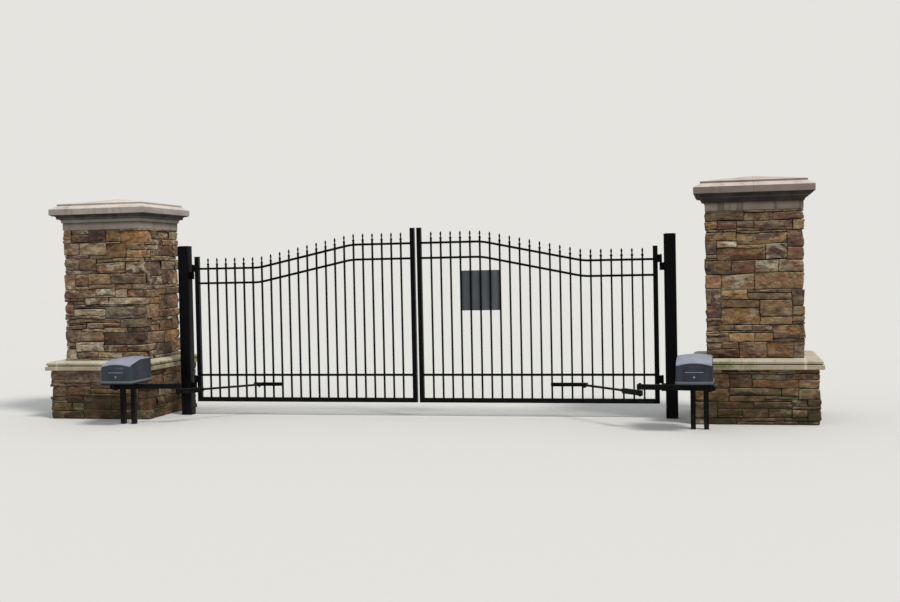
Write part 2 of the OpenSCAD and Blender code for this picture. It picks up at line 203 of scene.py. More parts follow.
camera_place = Vector((6.372, -13.390, 1.684))
camera_aim = Vector((3.270, 0.0, 1.325))
camera_roll = math.radians(1.18)
camera_data = bpy.data.cameras.new("camera")
camera_data.sensor_width = 36.0
camera_data.lens = 48.0
camera_data.clip_end = 400.0
camera = bpy.data.objects.new("camera", camera_data)
bpy.context.scene.collection.objects.link(camera)
level = (camera_aim - camera_place).to_track_quat("-Z", "Y").to_matrix().to_4x4()
camera.matrix_world = Matrix.Translation(camera_place) @ level @ Matrix.Rotation(-camera_roll, 4, "Z")
bpy.context.scene.camera = camera
bpy.context.scene.view_settings.view_transform = "Standard"

# Ledgestone of the piers
# Each plinth and shaft is a masonry core with a dry-stacked veneer of split sandstone in uneven
# courses, set without mortar. Corner stones return round the corner; through the open joints shows
# the core, painted black as shade.

stone_table = np.random.default_rng(11).random((256, 256))


def field(x, y):
    """Smooth random field: values from 0 to 1 on whole numbers, blended by 3t^2 - 2t^3."""
    i, j = np.floor(x).astype(int), np.floor(y).astype(int)
    tx, ty = x - i, y - j
    tx, ty = tx * tx * (3 - 2 * tx), ty * ty * (3 - 2 * ty)
    size = len(stone_table)
    i, j, next_i, next_j = i % size, j % size, (i + 1) % size, (j + 1) % size
    lower = stone_table[i, j] * (1 - tx) + stone_table[next_i, j] * tx
    upper = stone_table[i, next_j] * (1 - tx) + stone_table[next_i, next_j] * tx
    return lower * (1 - ty) + upper * ty


def lay_stones(side, low, high, rng):
    """Sets stones round a square pier of that side, from low to high, as rows of [start, end,
    bottom, top] in metres along the four sides. Lengths count in columns of 10 mm, heights in mm.
    Each stone goes on the lowest level stretch, in heights of whole 12 mm, and a short stretch is
    levelled up with a neighbour. Upright joints keep clear of corners and of the joints under them
    where there is room."""
    column, module, thinnest, tallest = 0.01, 12, 26, 200
    short_run, off_corner, off_joint, tries = 30, 11, 5, 30
    per_side = int(round(side / column))
    columns, step = 4 * per_side, side / per_side
    top = np.full(columns, int(round(low * 1000)))
    joint = np.zeros(columns, bool)
    end = int(round(high * 1000))
    stones = []
    while top.min() < end:
        lowest = top.min()
        level_here = top == lowest
        if level_here.all():
            start, run, beside = per_side // 3, columns, []
        else:
            starts = np.flatnonzero(level_here & ~np.roll(level_here, 1))
            start = int(starts[rng.integers(len(starts))])
            run = int(np.argmin(np.roll(level_here, -start)))
            beside = [int(top[start - 1] - lowest), int(top[(start + run) % columns] - lowest)]
        heights = [rng.integers(2, 5), rng.integers(5, 9), rng.integers(9, 16)]
        tall = module * int(rng.choice(heights, p=[0.30, 0.34, 0.36]))
        from_left = bool(rng.integers(2))
        fits = [drop for drop in beside if 2 * module <= drop <= 16 * module]
        if fits and (run <= short_run or rng.random() < 0.45):
            if run > short_run:
                tall = fits[int(rng.integers(len(fits)))]
            else:
                tall = max(fits) if rng.random() < 0.6 else min(fits)
            from_left = beside[0] == tall
        rest = end - lowest
        if rest - tall < thinnest:
            tall = rest if rest <= tallest else rest // 2
        shortest, longest = (14, 62) if tall < 50 else (16, 62) if tall < 100 else (20, 66)
        wide = run
        if run > 2 * shortest and (run > longest or rng.random() < 0.75):
            for _ in range(tries):
                wide = int(np.clip(shortest + rng.gamma(2.4, 9.0), shortest, min(longest, run - shortest)))
                cut = (start + wide if from_left else start + run - wide) % columns
                to_corner = min(cut % per_side, per_side - cut % per_side)
                near = joint[(cut + np.arange(-off_joint, off_joint + 1)) % columns].any()
                if to_corner >= off_corner and not near:
                    break
            else:
                wide = run if run <= longest else wide
        first = start if from_left or wide == run else start + run - wide
        span = np.arange(first, first + wide) % columns
        top[span] = lowest + tall
        joint[span] = False
        joint[[first % columns, (first + wide) % columns]] = True
        begin = first % columns
        stones.append((begin * step, (begin + wide) * step, lowest / 1000, (lowest + tall) / 1000))
    return np.array(stones)


def round_pier(side, s, out, stand):
    """Turns a length s along the pier's four sides into x and y, at out from the middle. The place
    on a side runs from -1 to 1, and its 8th power moves a corner out by stand, as both sides do."""
    sides = np.floor(s / side + 1e-9).astype(int)
    place = 2 * (s / side - sides) - 1
    slide = place * (side / 2 + stand * place ** 8)
    x = np.choose(sides % 4, [slide, out, -slide, -out])
    y = np.choose(sides % 4, [-out, slide, out, -slide])
    return x, y, place


def with_edges(low, high, rim, lip, inner):
    """Rows of places from low to high: both ends, a lip inside each, and even steps between rims."""
    steps = np.linspace(0, 1, inner)[None, :]
    low, high = low[:, None], high[:, None]
    return np.hstack([low, low + lip, low + rim + (high - low - 2 * rim) * steps, high - lip, high])


def stone_relief(s, z, ends, own, rng):
    """How far each point of a split face stands off before its set, as a sum: 1.25 times the lowest
    of five tilted planes, terraces cut from a field stretched along the bed, and a fine grain."""
    s0, s1, z0, z1 = ends
    count = len(own)
    part, lift = (s - s0) / (s1 - s0) - 0.5, (z - z0) / (z1 - z0) - 0.5
    lean = rng.uniform(-0.22, 0.22, count)[:, None, None]
    bent_part = part + 0.22 * (field(s / 0.09 + own, z / 0.05 + own) - 0.5)
    bent_lift = lift + 0.45 * (field(s / 0.10 + 17 + own, z / 0.06 + own) - 0.5) + 1.6 * lean * part
    tip = 0.020 * np.clip((z1 - z0) / 0.10, 0.3, 1.0)
    planes = np.full_like(part, 9.0)
    for _ in range(5):
        slope_s, slope_z, offset, at_s, at_z = rng.uniform(-1, 1, (5, count))[:, :, None, None]
        along_s = 0.016 * slope_s * (bent_part - 0.4 * at_s)
        planes = np.minimum(planes, along_s + tip * slope_z * (bent_lift - 0.4 * at_z) + 0.003 * offset)
    cleft = 0.72 * field(s / 0.21 + own, (z + lean * s) / 0.046 + own)
    cleft = cleft + 0.28 * field(s / 0.07 + own, z / 0.017 + 31 + own)
    levels = rng.uniform(2.5, 5.5, count)[:, None, None]
    terrace = np.floor(cleft * levels) + np.clip((cleft * levels % 1 - 0.5) * 3.2 + 0.5, 0, 1)
    relief = rng.uniform(0.006, 0.016, count)[:, None, None] * (terrace / levels - 0.5) + 1.25 * planes
    return relief + 0.0034 * (field(s / 0.030 + 7 + own, z / 0.011 + own) - 0.5)


def split_faces(stones, side, across, up, rng):
    """Closed blocks with split faces, one grid of across by up points each, and their painted edge shade.
    A point stands off the pier's face by the stone's own set and relief, less a quarter-round at
    the edges. Slow waves shared by all stones bend beds and joints, and a grid folds round a
    corner of the pier."""
    count = len(stones)
    tight, open_joint, open_bed = 0.0004, 0.0022, 0.0030
    rim, lip, least_return = 0.0052, 0.0018, 0.03
    worn_corner, deepest, proudest, back_depth = 0.0035, -0.026, 0.009, -0.046
    gap = rng.uniform(tight, (open_joint, open_joint, open_bed, open_bed), (count, 4))
    s0, s1 = stones[:, 0] + gap[:, 0], stones[:, 1] - gap[:, 1]
    z0, z1 = stones[:, 2] + gap[:, 2], stones[:, 3] - gap[:, 3]
    along = with_edges(s0, s1, rim, lip, across - 4)
    edge = np.minimum(0.0050, 0.20 * (z1 - z0))[:, None]
    rise = with_edges(z0, z1, edge, edge * 0.36, up - 4)
    corner = np.ceil(stones[:, 0] / side + 1e-6) * side
    turns = (corner > stones[:, 0] + least_return) & (corner < stones[:, 1] - least_return)
    nearest = np.abs(along - corner[:, None]).argmin(1)
    rows = np.flatnonzero(turns)
    along[rows, nearest[rows]] = corner[rows]
    s = np.repeat(along[:, None, :], up, 1)
    z = np.repeat(rise[:, :, None], across, 2)
    own = rng.uniform(0, 200, count)[:, None, None]
    s0, s1, z0, z1 = (value[:, None, None] for value in (s0, s1, z0, z1))
    from_end, from_bed = np.minimum(s - s0, s1 - s), np.minimum(z - z0, z1 - z)
    relief = stone_relief(s, z, (s0, s1, z0, z1), own, rng)
    radius = rng.uniform(0.003, 0.007, count)[:, None, None]
    radius = radius * (0.4 + 1.6 * field(s / 0.06 + own, z / 0.05 + own))
    rounding = 0
    for inside in (from_end, from_bed):
        rounding = rounding + radius * (1 - np.sqrt(1 - (1 - np.clip(inside / radius, 0, 1)) ** 2))
    own_set = rng.uniform(-0.008, 0.007, count)[:, None, None]
    folded = turns[:, None, None] & (np.arange(across)[None, None, :] == nearest[:, None, None])
    stand = np.clip(own_set + relief - rounding - worn_corner * folded, deepest, proudest)
    x, y, place = round_pier(side, s, side / 2 + 0 * s, 0 * s)
    ground, crown = stones[:, 2].min(), stones[:, 3].max()
    fade = np.clip((z - ground) / 0.04, 0, 1) * np.clip((crown - z) / 0.04, 0, 1)
    wave = 0.015 * (field(x / 0.25 + 9, y / 0.25 + z / 0.31) - 0.5) * fade
    sway = 0.016 * (field((x + 2 * y) / 0.35 + 40, z / 0.085) - 0.5) * (1 - place ** 4)
    ragged_end = 0.0052 * (field(z / 0.016 + own, own * 1.7 + 0 * s) - 0.5)
    ragged_end = ragged_end * (1 - np.clip(from_end / 0.03, 0, 1)) * (1 - place ** 8)
    ragged_bed = 0.0030 * (field(s / 0.040 + own, own * 3.1 + 0 * s) - 0.5)
    ragged_bed = ragged_bed * (1 - np.clip(from_bed / 0.012, 0, 1)) * fade
    z = np.clip(z + wave + ragged_bed, ground + 0.0005, crown - 0.0005)
    s = s + sway + ragged_end
    back = np.full((count, 1, across), back_depth)
    stand = np.concatenate([back, stand, back], 1)
    s, z = (np.concatenate([a[:, :1], a, a[:, -1:]], 1) for a in (s, z))
    x, y, _ = round_pier(side, s, side / 2 + stand, stand)
    points = np.stack([x, y, z], -1).reshape(-1, 3)
    rings = up + 2
    index = np.arange(count * rings * across).reshape(count, rings, across)
    below, above = index, np.roll(index, -1, 1)
    quads = [below[:, :, :-1], below[:, :, 1:], above[:, :, 1:], above[:, :, :-1]]
    quads = np.stack(quads, -1).reshape(-1, 4)
    ends = np.concatenate([index[:, ::-1, 0], index[:, :, -1]])
    # Painted shade along each stone's edges: 0 at an edge, 1 from 6 mm in.
    edge_light = np.minimum(from_end, from_bed) / 0.006
    edge_light = np.clip(np.concatenate([back * 0, edge_light, back * 0], 1), 0, 1)
    return points, quads.tolist() + ends.tolist(), edge_light.ravel(), np.full(count, rings * across)


def solid(name, points, faces, material, slot, body, *stands_for):
    """New mesh piece in the row frame, with its finish, riding on a body."""
    mesh = bpy.data.meshes.new(name)
    mesh.from_pydata(np.asarray(points, float).reshape(-1, 3).tolist(), [], faces)
    mesh.update()
    piece = bpy.data.objects.new(name, mesh)
    bpy.context.scene.collection.objects.link(piece)
    piece.data.materials.append(material)
    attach(piece, body)
    if stands_for:
        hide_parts(*stands_for)
    return piece


def veneer(name, body, node, seed):
    """Stone veneer over a core, painted black as shade in the open joints, that stands for one CAD
    block of a pier. Long and tall stones get more points, so that a face's grid stays near 12 by 8 mm."""
    low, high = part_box(node)
    rng = np.random.default_rng(seed)
    side, centre = high.x - low.x, (low + high) / 2
    stones = lay_stones(side, low.z, high.z, rng)
    length, height = stones[:, 1] - stones[:, 0], stones[:, 3] - stones[:, 2]
    points, faces, light, counts = [], [], [], []
    for short, long, across in ((0, 0.24, 18), (0.24, 0.40, 29), (0.40, 9, 41)):
        for thin, thick, up in ((0, 0.05, 9), (0.05, 0.10, 12), (0.10, 9, 18)):
            pick = (length >= short) & (length < long) & (height >= thin) & (height < thick)
            if pick.any():
                made = split_faces(stones[pick], side, across, up, rng)
                base = sum(len(p) for p in points)
                points.append(made[0])
                faces += [[i + base for i in face] for face in made[1]]
                light.append(made[2])
                counts.append(made[3])
    counts, light = np.concatenate(counts), np.concatenate(light)
    count = len(counts)
    bed, lightness, paleness = rng.random(count), rng.uniform(0.66, 1.30, count), rng.random(count)
    tone = np.repeat(np.stack([bed, lightness, paleness], 1), counts, 0)
    core_depth = 0.034
    core = side / 2 - core_depth
    core_points = np.array([(x, y, z) for z in (low.z + 0.001, high.z - 0.001)
                            for x, y in ((-core, -core), (core, -core), (core, core), (-core, core))])
    core_faces = ((3, 2, 1, 0), (4, 5, 6, 7), (0, 1, 5, 4), (1, 2, 6, 5), (2, 3, 7, 6), (3, 0, 4, 7))
    faces += [[len(light) + i for i in face] for face in core_faces]
    points = np.concatenate(points + [core_points]) + (centre.x, centre.y, 0)
    piece = solid(name, points, faces, stone.material, "ledgestone", body, node)
    piece.data.shade_smooth()
    per_point = piece.data.attributes.new("stone", "FLOAT_COLOR", "POINT")
    # The core's points get zero tone, lightness and edge light, so it renders black: painted shade in the
    # open joints.
    values = np.concatenate([np.hstack([tone, light[:, None]]), np.zeros((len(core_points), 4))])
    per_point.data.foreach_set("color", values.astype(np.float32).ravel())
    return piece


stone = Finish("ledgestone", 0.92, Specular_IOR_Level=0.2)
per_stone = stone.node("Attribute", attribute_name="stone")
per_channel = stone.node("SeparateColor", {0: per_stone.outputs["Color"]})
stone_bed, stone_light, stone_paleness = per_channel.outputs
painted_edge_mask = per_stone.outputs["Alpha"]
beds = [(0.00, (120, 97, 77)), (0.14, (139, 114, 88)), (0.26, (152, 121, 85)), (0.37, (101, 78, 66)),
        (0.48, (136, 122, 102)), (0.58, (148, 111, 78)), (0.67, (94, 75, 71)), (0.77, (155, 146, 127)),
        (0.83, (126, 89, 72)), (0.91, (79, 64, 56)), (0.96, (116, 84, 72))]


def bed_tone(place):
    """Colour of the bed that a stone comes from, picked by a place from 0 to 1."""
    ramp = stone.node("ValToRGB", {0: place})
    ramp.color_ramp.interpolation = "CONSTANT"
    while len(ramp.color_ramp.elements) < len(beds):
        ramp.color_ramp.elements.new(0.5)
    for element, (position, tone) in zip(ramp.color_ramp.elements, beds):
        element.position, element.color = position, linear(*tone)
    return ramp.outputs["Color"]


second_bed = stone.maths("FRACT", stone.times(stone_bed, 7.3))
swirl = stone.between(stone.noise(3.6, (1, 1, 2.0), 4, 0.5, warp=1.6), 0.47, 0.56, 0, 0.8)
stone_tone = stone.mixed(swirl, bed_tone(stone_bed), bed_tone(second_bed))
stains = ((5.5, 4, 0.52, 0.64, 0.62, (74, 55, 45)), (7.0, 9, 0.56, 0.67, 0.38, (146, 98, 70)),
          (6.0, 15, 0.56, 0.67, 0.42, (104, 74, 70)), (4.2, 21, 0.53, 0.63, 0.45, (150, 136, 102)))
for scale, shift, low, high, most, tone in stains:
    stain = stone.noise(scale, (1, 1, 1.8), 6, 0.6, (shift, shift, 0), 1.1)
    stone_tone = stone.mixed(stone.between(stain, low, high, 0, most), stone_tone, linear(*tone))
iron = stone.off_from(stone.noise(4.6, (1, 1, 2.6), 3, 0.5, (7, 1, 5), 2.0), 0.5)
stone_tone = stone.mixed(stone.between(iron, 0.0, 0.016, 0.5, 0.0), stone_tone, linear(84, 52, 36))
pale = stone.between(stone.noise(9.0, (1, 1, 1.3), 7, 0.62, (3, 5, 1)), 0.48, 0.62, 0, 0.9)
pale = stone.times(pale, stone.between(stone_paleness, 0.70, 0.95, 0.15, 0.85))
stone_tone = stone.mixed(pale, stone_tone, linear(176, 170, 150))
# Faces that look up are paler: painted highlight, with dust.
stone_tone = stone.mixed(stone.facing_up(0.18, 0.70), stone_tone, linear(178, 164, 138))

clouds = stone.between(stone.noise(13.0, (1, 1, 2.2), 5, 0.62, warp=0.6), 0.30, 0.70, 0.62, 1.28)
grit = stone.between(stone.noise(110.0, (1, 1, 1), 4, 0.7), 0.3, 0.7, 0.84, 1.14)
# Seams along the strata, sunk by the bump and darkened in colour: painted shade in their grooves.
seams = stone.off_from(stone.noise(3.4, (1, 1, 8.0), 3, 0.55, (2, 6, 3), 0.5), 0.5)
seam_areas = stone.between(stone.noise(6.0, (1, 1, 2.0), 3, 0.5, (9, 2, 6)), 0.46, 0.60)
seams = stone.times(stone.between(seams, 0.0, 0.020, 1.0, 0.0), seam_areas)
painted_seam_shade = stone.between(seams, 0.0, 1.0, 1.0, 0.52)
# Painted shade along the stones' edges and joints, deeper in some places than in others.
painted_joint_shade = stone.between(stone.noise(7.0, (1, 1, 1.6), 3), 0.38, 0.62, 0.32, 0.84)
painted_joint_shade = stone.between(painted_edge_mask, 0.0, 1.0, painted_joint_shade, 1.0)
# Painted shade on faces that look down, down to black where they face straight down.
painted_underside_shade = stone.facing_up(-0.75, -0.05)
# Each stone's own tone, clouds and grit, times painted shade at its edges, seams and undersides.
light = stone.times(clouds, stone_light, grit, painted_seam_shade, painted_joint_shade, painted_underside_shade)
stone_tone = stone.shaded(stone_tone, light)
stone_tone = stone.node("HueSaturation", {"Saturation": 1.06, "Color": stone_tone}).outputs[0]

damp = stone.between(stone.height(), 0.10, 0.78, 0.72, 0.0)
damp_areas = stone.between(stone.noise(5.0, (1, 1, 1.4), 6), 0.30, 0.62, 0.3, 1.0)
stone_tone = stone.mixed(stone.times(damp, damp_areas), stone_tone, linear(62, 40, 26))
moss = stone.between(stone.height(), 0.20, 0.50, 1.0, 0.0)
moss_areas = stone.noise(6.0, (1, 1, 1.4), 6, 0.6, (3, 8, 2))
moss = stone.times(moss, stone.between(moss_areas, 0.40, 0.60, 0.0, 0.75))
stone.colour(stone.mixed(moss, stone_tone, linear(56, 55, 31)))
coarse = stone.times(stone.noise(24.0, (1, 1, 1.7), 5, 0.6, warp=0.5), 2.2)
grain = stone.maths("ADD", coarse, stone.noise(130.0, (1, 1, 1.2), 5, 0.7))
stone.bump(stone.maths("SUBTRACT", grain, seams), 0.0065, 0.9)

masonry = "posts_piers_operators"
for number, side in enumerate(("left", "right")):
    veneer(f"{side}_plinth_stones", masonry, f"{side}_pier_plinth", 40 + number)
    veneer(f"{side}_shaft_stones", masonry, f"{side}_pier_shaft", 60 + number)

# Cast stone of the piers
# Ledge, neck band and cap are cast stone bedded on the masonry, ledge and cap in two lengths a side.
# It has weathered to grey and buff, with rain streaks and green algae in the groove; painted shade
# darkens the coves, the neck's top and the groove, and painted light pales the upward faces.


def rounded(node, finish, body, width, steps=2):
    """Copy of a CAD node with its sharp edges rounded to that width, which stands for the node: the
    triangles are merged into whole flat faces, and a bevel then cuts each edge sharper than 28 deg."""
    shape = bmesh.new()
    shape.from_mesh(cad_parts[node].data)
    bmesh.ops.remove_doubles(shape, verts=shape.verts, dist=0.00002)
    bmesh.ops.dissolve_limit(shape, angle_limit=math.radians(0.5), verts=shape.verts, edges=shape.edges)
    for face in shape.faces:
        face.smooth = True
    mesh = bpy.data.meshes.new(f"{node}_rounded")
    shape.to_mesh(mesh)
    shape.free()
    piece = bpy.data.objects.new(f"{node}_rounded", mesh)
    bpy.context.scene.collection.objects.link(piece)
    bevel = piece.modifiers.new("rounded edges", "BEVEL")
    bevel.width, bevel.segments = width, steps
    bevel.limit_method, bevel.angle_limit = "ANGLE", math.radians(28)
    bevel.harden_normals = True
    mesh.materials.append(finish.material)
    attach(piece, body)
    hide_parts(node)
    return piece


def cast_stone(name, face, wash, painted_shade=None, fillet=None, shade_thins_below=None, groove=None, joint_at=None,
               lime_at=None, algae_at=0, streaked=0.4):
    """Fine-grained cast stone: walls of the first colour, paler towards the second where it faces up, as
    weathering and as painted light from above, with rain streaks of up to the share streaked.
    painted_shade is the height where painted shade starts and the one where it is full, thinner at a
    fillet as a painted highlight; shade_thins_below is the height under which the painted shade thins
    out, where a lower cove is lit; groove is the two edges of a groove, darkened in its middle by
    painted shade and grime, with algae about it, most of it near x = algae_at; joint_at is the middle
    that the upright joints of a side stand at; lime_at is the x of a pale run, and the y that it is
    in front of."""
    made = Finish(name, 0.9, Specular_IOR_Level=0.2)
    x, y, height = made.node("SeparateXYZ", {0: made.place}).outputs
    # Paler where it faces up: weathering, and painted light from above.
    tone = made.mixed(made.facing_up(0.15, 0.75), linear(*face), linear(*wash))
    clouds = made.between(made.noise(3.2, (1, 1, 1.6), 6, 0.6), 0.3, 0.7, 0.82, 1.12)
    grain = made.between(made.noise(240.0, (1, 1, 1), 3), 0.3, 0.7, 0.90, 1.08)
    light = made.times(clouds, grain)
    if joint_at is not None:
        for across, middle_of_side in zip((x, y), joint_at):
            off = made.off_from(across, middle_of_side)
            light = made.times(light, made.between(off, 0.0014, 0.0030, 0.66, 1.0))
    tone = made.shaded(tone, light)
    more = streaked - 0.4
    streaks = made.noise(9.0, (1, 1, 0.12), 5, 0.7)
    streaks = made.between(streaks, 0.52 - 0.1 * more, 0.76 - 0.3 * more, 0, streaked)
    tone = made.mixed(streaks, tone, linear(84, 74, 66))
    if painted_shade is not None:
        # Painted shade in the coves under the cap and at the neck's top, in the cap's shade.
        painted_shade_share = made.between(height, *painted_shade)
        painted_shade_share = made.times(painted_shade_share, made.between(made.noise(7.0, (1, 1, 0.5), 5), 0.3, 0.7, 0.86, 1.0))
        if fillet is not None:
            # Thinner on the fillet: a line of painted highlight where light catches it.
            painted_shade_share = made.times(painted_shade_share, made.between(made.off_from(height, fillet), 0.002, 0.006, 0.72, 1.0))
        if shade_thins_below is not None:
            # Thinner below a height, where a lower cove is lit.
            painted_shade_share = made.times(painted_shade_share, made.between(height, shade_thins_below - 0.026, shade_thins_below, 0.3, 1.0))
        tone = made.mixed(painted_shade_share, tone, linear(46, 38, 35))
    if groove is not None:
        low, high = groove
        away = made.off_from(height, (low + high) / 2)
        # The groove's middle is darkened: painted shade in the recess, with grime.
        deep = made.between(away, (high - low) * 0.35, (high - low) * 0.65, 0.75, 0.0)
        tone = made.mixed(deep, tone, linear(78, 70, 54))
        patches = made.between(made.noise(1.7, (1, 1, 1), 3), 0.48, 0.62, 0, 0.5)
        main_patch = made.between(made.off_from(x, algae_at), 0.12, 0.40, 1.0, 0.0)
        patches = made.maths("MAXIMUM", patches, main_patch)
        runs = made.between(made.noise(14.0, (1, 1, 0.2), 5, 0.7), 0.36, 0.66, 0.1, 1.0)
        algae = made.times(made.between(away, 0.010, 0.066, 1.0, 0.0), made.times(patches, runs))
        tone = made.mixed(algae, tone, linear(94, 104, 44))
    if lime_at is not None:
        lime_x, lime_y = lime_at
        lime = made.between(made.off_from(x, lime_x), 0.006, 0.020, 0.6, 0.0)
        lime = made.times(lime, made.between(y, lime_y, lime_y + 0.05, 1.0, 0.0))
        tone = made.mixed(lime, tone, linear(206, 198, 184))
    made.colour(tone)
    made.bump(made.noise(160.0, (1, 1, 1), 5, 0.7), 0.0022, 0.5)
    return made


arris = 0.004
groove_low, groove_high = 0.047, 0.060
# Heights of the fillet and of where the cap's painted shade starts and is full, from its foot.
cap_fillet, cap_shade_starts, cap_shade_full = 0.051, 0.098, 0.090
neck_shade_starts, neck_shade_full = -0.050, 0.015
neck_wash, ledge_face, ledge_wash = (150, 140, 128), (170, 157, 136), (198, 188, 168)
for side, cap_face, cap_wash, neck_face, neck_streaks, cap_shade_thins, lime_part, algae_part in (
        ("left", (156, 147, 140), (206, 197, 191), (150, 139, 128), 0.5, 0.046, 0.11, 0.90),
        ("right", (122, 109, 104), (196, 183, 175), (146, 132, 122), 0.8, 0.000, 0.86, 0.27)):
    cap_low, cap_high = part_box(f"{side}_pier_cap")
    neck_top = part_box(f"{side}_pier_neck")[1].z
    ledge_low, ledge_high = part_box(f"{side}_pier_ledge")
    ledge_long = ledge_high.x - ledge_low.x
    joints = ((cap_low.x + cap_high.x) / 2, (cap_low.y + cap_high.y) / 2)
    cap_shade_band = (cap_low.z + cap_shade_starts, cap_low.z + cap_shade_full)
    cap_finish = cast_stone(f"cast stone cap {side}", cap_face, cap_wash, painted_shade=cap_shade_band, joint_at=joints,
                            fillet=cap_low.z + cap_fillet, shade_thins_below=cap_low.z + cap_shade_thins)
    neck_shade_band = (neck_top + neck_shade_starts, neck_top + neck_shade_full)
    neck_finish = cast_stone(f"cast stone neck {side}", neck_face, neck_wash, painted_shade=neck_shade_band,
                             streaked=neck_streaks)
    groove = (ledge_low.z + groove_low, ledge_low.z + groove_high)
    lime = (ledge_low.x + lime_part * ledge_long, ledge_low.y + 0.2)
    ledge_finish = cast_stone(f"cast stone ledge {side}", ledge_face, ledge_wash, groove=groove,
                              joint_at=joints, lime_at=lime,
                              algae_at=ledge_low.x + algae_part * ledge_long)
    for unit, finish in (("cap", cap_finish), ("neck", neck_finish), ("ledge", ledge_finish)):
        rounded(f"{side}_pier_{unit}", finish, masonry, arris)

# Hinge posts
# Square steel tube posts set in the ground, with a pressed cap welded on top and two barrels with
# their lugs welded to the face, in satin black paint that is dusty on top and splashed at the foot.

gate_paint = Finish("satin black paint", 0.42, Specular_IOR_Level=0.05)
dust = gate_paint.between(gate_paint.noise(24.0, detail=5), 0.35, 0.65, 0.15, 0.6)
dust = gate_paint.times(gate_paint.facing_up(0.35, 0.95), dust)
splash = gate_paint.between(gate_paint.height(), 0.02, 0.30, 0.22, 0.0)
splash = gate_paint.times(splash, gate_paint.between(gate_paint.noise(30.0, (1, 1, 0.6), 6), 0.38, 0.74))
paint_clouds = gate_paint.between(gate_paint.noise(9.0, (1, 1, 0.3), 4), 0.35, 0.7)
paint_tone = gate_paint.mixed(paint_clouds, linear(6, 7, 9), linear(12, 13, 16))
paint_tone = gate_paint.mixed(gate_paint.maths("MAXIMUM", dust, splash), paint_tone, linear(66, 60, 54))
rust = gate_paint.noise(55.0, detail=7, roughness=0.7, shift=(2, 7, 4))
rust = gate_paint.between(rust, 0.72, 0.80, 0, 0.40)
gate_paint.colour(gate_paint.mixed(rust, paint_tone, linear(74, 42, 26)))
gate_paint.rough(gate_paint.between(gate_paint.noise(40.0, detail=5), 0.3, 0.7, 0.32, 0.5))
gate_paint.bump(gate_paint.noise(420.0, detail=3), 0.0006, 0.5)


def ring_faces(index):
    """Quads that join each ring of points to the next, as rows of four. The index has the rings on
    its last axis but one and the points round a ring on its last."""
    near, far = index[..., :-1, :], index[..., 1:, :]
    return np.stack([near, np.roll(near, -1, -1), np.roll(far, -1, -1), far], -1).reshape(-1, 4)


def ring_solids(name, points, finish, slot, body):
    """Closed solids as one mesh, from points in rows of solid, ring and place round the ring: each
    ring is joined to the next, and a flat face closes both ends of a solid."""
    points = np.asarray(points)
    index = np.arange(points[..., 0].size).reshape(points.shape[:-1])
    faces = ring_faces(index).tolist() + index[:, 0, ::-1].tolist() + index[:, -1].tolist()
    return solid(name, points, faces, finish.material, slot, body)


def weld_beads(name, starts, ends, radius, body):
    """Weld beads laid from each start to each end as one mesh. A bead is a grid of rings along its
    line, whose radius is radius times 1 plus a fifth of a sine with a wave every 5 mm, and tapers at
    both ends by the 6th power of its place from -1 to 1."""
    starts, ends = np.asarray(starts, float), np.asarray(ends, float)
    rings, around = 9, 6
    along = np.linspace(0, 1, rings)
    run = ends - starts
    length = np.linalg.norm(run, axis=1, keepdims=True)
    ahead = run / length
    aside = np.cross(ahead, np.where(np.abs(ahead[:, 2:]) > 0.7, (1.0, 0.0, 0.0), (0.0, 0.0, 1.0)))
    aside /= np.linalg.norm(aside, axis=1, keepdims=True)
    over = np.cross(ahead, aside)
    thick = radius * (1 + 0.2 * np.sin(2 * np.pi * along * length / 0.005 + starts[:, :1] * 90))
    thick = thick * (0.35 + 0.65 * np.sqrt(1 - (2 * along - 1) ** 6))
    turn = np.arange(around) * 2 * np.pi / around
    circle = np.cos(turn)[:, None] * aside[:, None, None] + np.sin(turn)[:, None] * over[:, None, None]
    centres = starts[:, None] + run[:, None] * along[None, :, None]
    points = centres[:, :, None] + thick[:, :, None, None] * circle
    return ring_solids(name, points, gate_paint, "gate_paint", body)


def box_edges(low, high, wanted):
    """Lines along the edges of a box that wanted names, as pairs of fixed axis letters with their
    side, such as x+z-: the edge at the largest x and the smallest z."""
    corner = {"-": low, "+": high}
    lines = []
    for name in wanted:
        fixed = {"xyz".index(name[i]): corner[name[i + 1]]["xyz".index(name[i])] for i in (0, 2)}
        free = ({0, 1, 2} - set(fixed)).pop()
        start, end = [0, 0, 0], [0, 0, 0]
        for axis, value in fixed.items():
            start[axis] = end[axis] = value
        start[free], end[free] = low[free], high[free]
        lines.append((start, end))
    return lines


def lug_welds(face_x, half_thick, bottom):
    """Four lines round the lug of a hinge barrel, where it meets an upright face at face_x."""
    low, high = (face_x, -half_thick, bottom), (face_x, half_thick, bottom + barrel_long)
    return box_edges(low, high, around_end)


around_end = ("x-y-", "x-y+", "x-z-", "x-z+")
around_top = ("x-z+", "x+z+", "y-z+", "y+z+")
barrel_long = 0.086
hinge_tops = (0.384, 1.718)
post_lug_half = 0.009
post_corner, post_cap_edge, barrel_edge, post_bead = 0.005, 0.0015, 0.0012, 0.0028
for side, outward in (("left", -1), ("right", 1)):
    rounded(f"{side}_post", gate_paint, masonry, post_corner, 3)
    rounded(f"{side}_post_cap", gate_paint, masonry, post_cap_edge)
    rounded(f"{side}_post_hinges", gate_paint, masonry, barrel_edge)
    post_low, post_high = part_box(f"{side}_post")
    face_x = post_low.x if outward > 0 else post_high.x
    lines = box_edges((post_low.x, post_low.y, post_high.z), tuple(post_high), around_top)
    for top in hinge_tops:
        lines += lug_welds(face_x, post_lug_half, top - barrel_long)
    weld_beads(f"{side}_post_welds", *zip(*lines), post_bead, masonry)

# Leaves
# Each leaf is welded up from square tube stiles and bottom rail, and square bar pickets that pass
# through a lower rail and two upper rails bent to a reverse curve. All joints have a small bead.

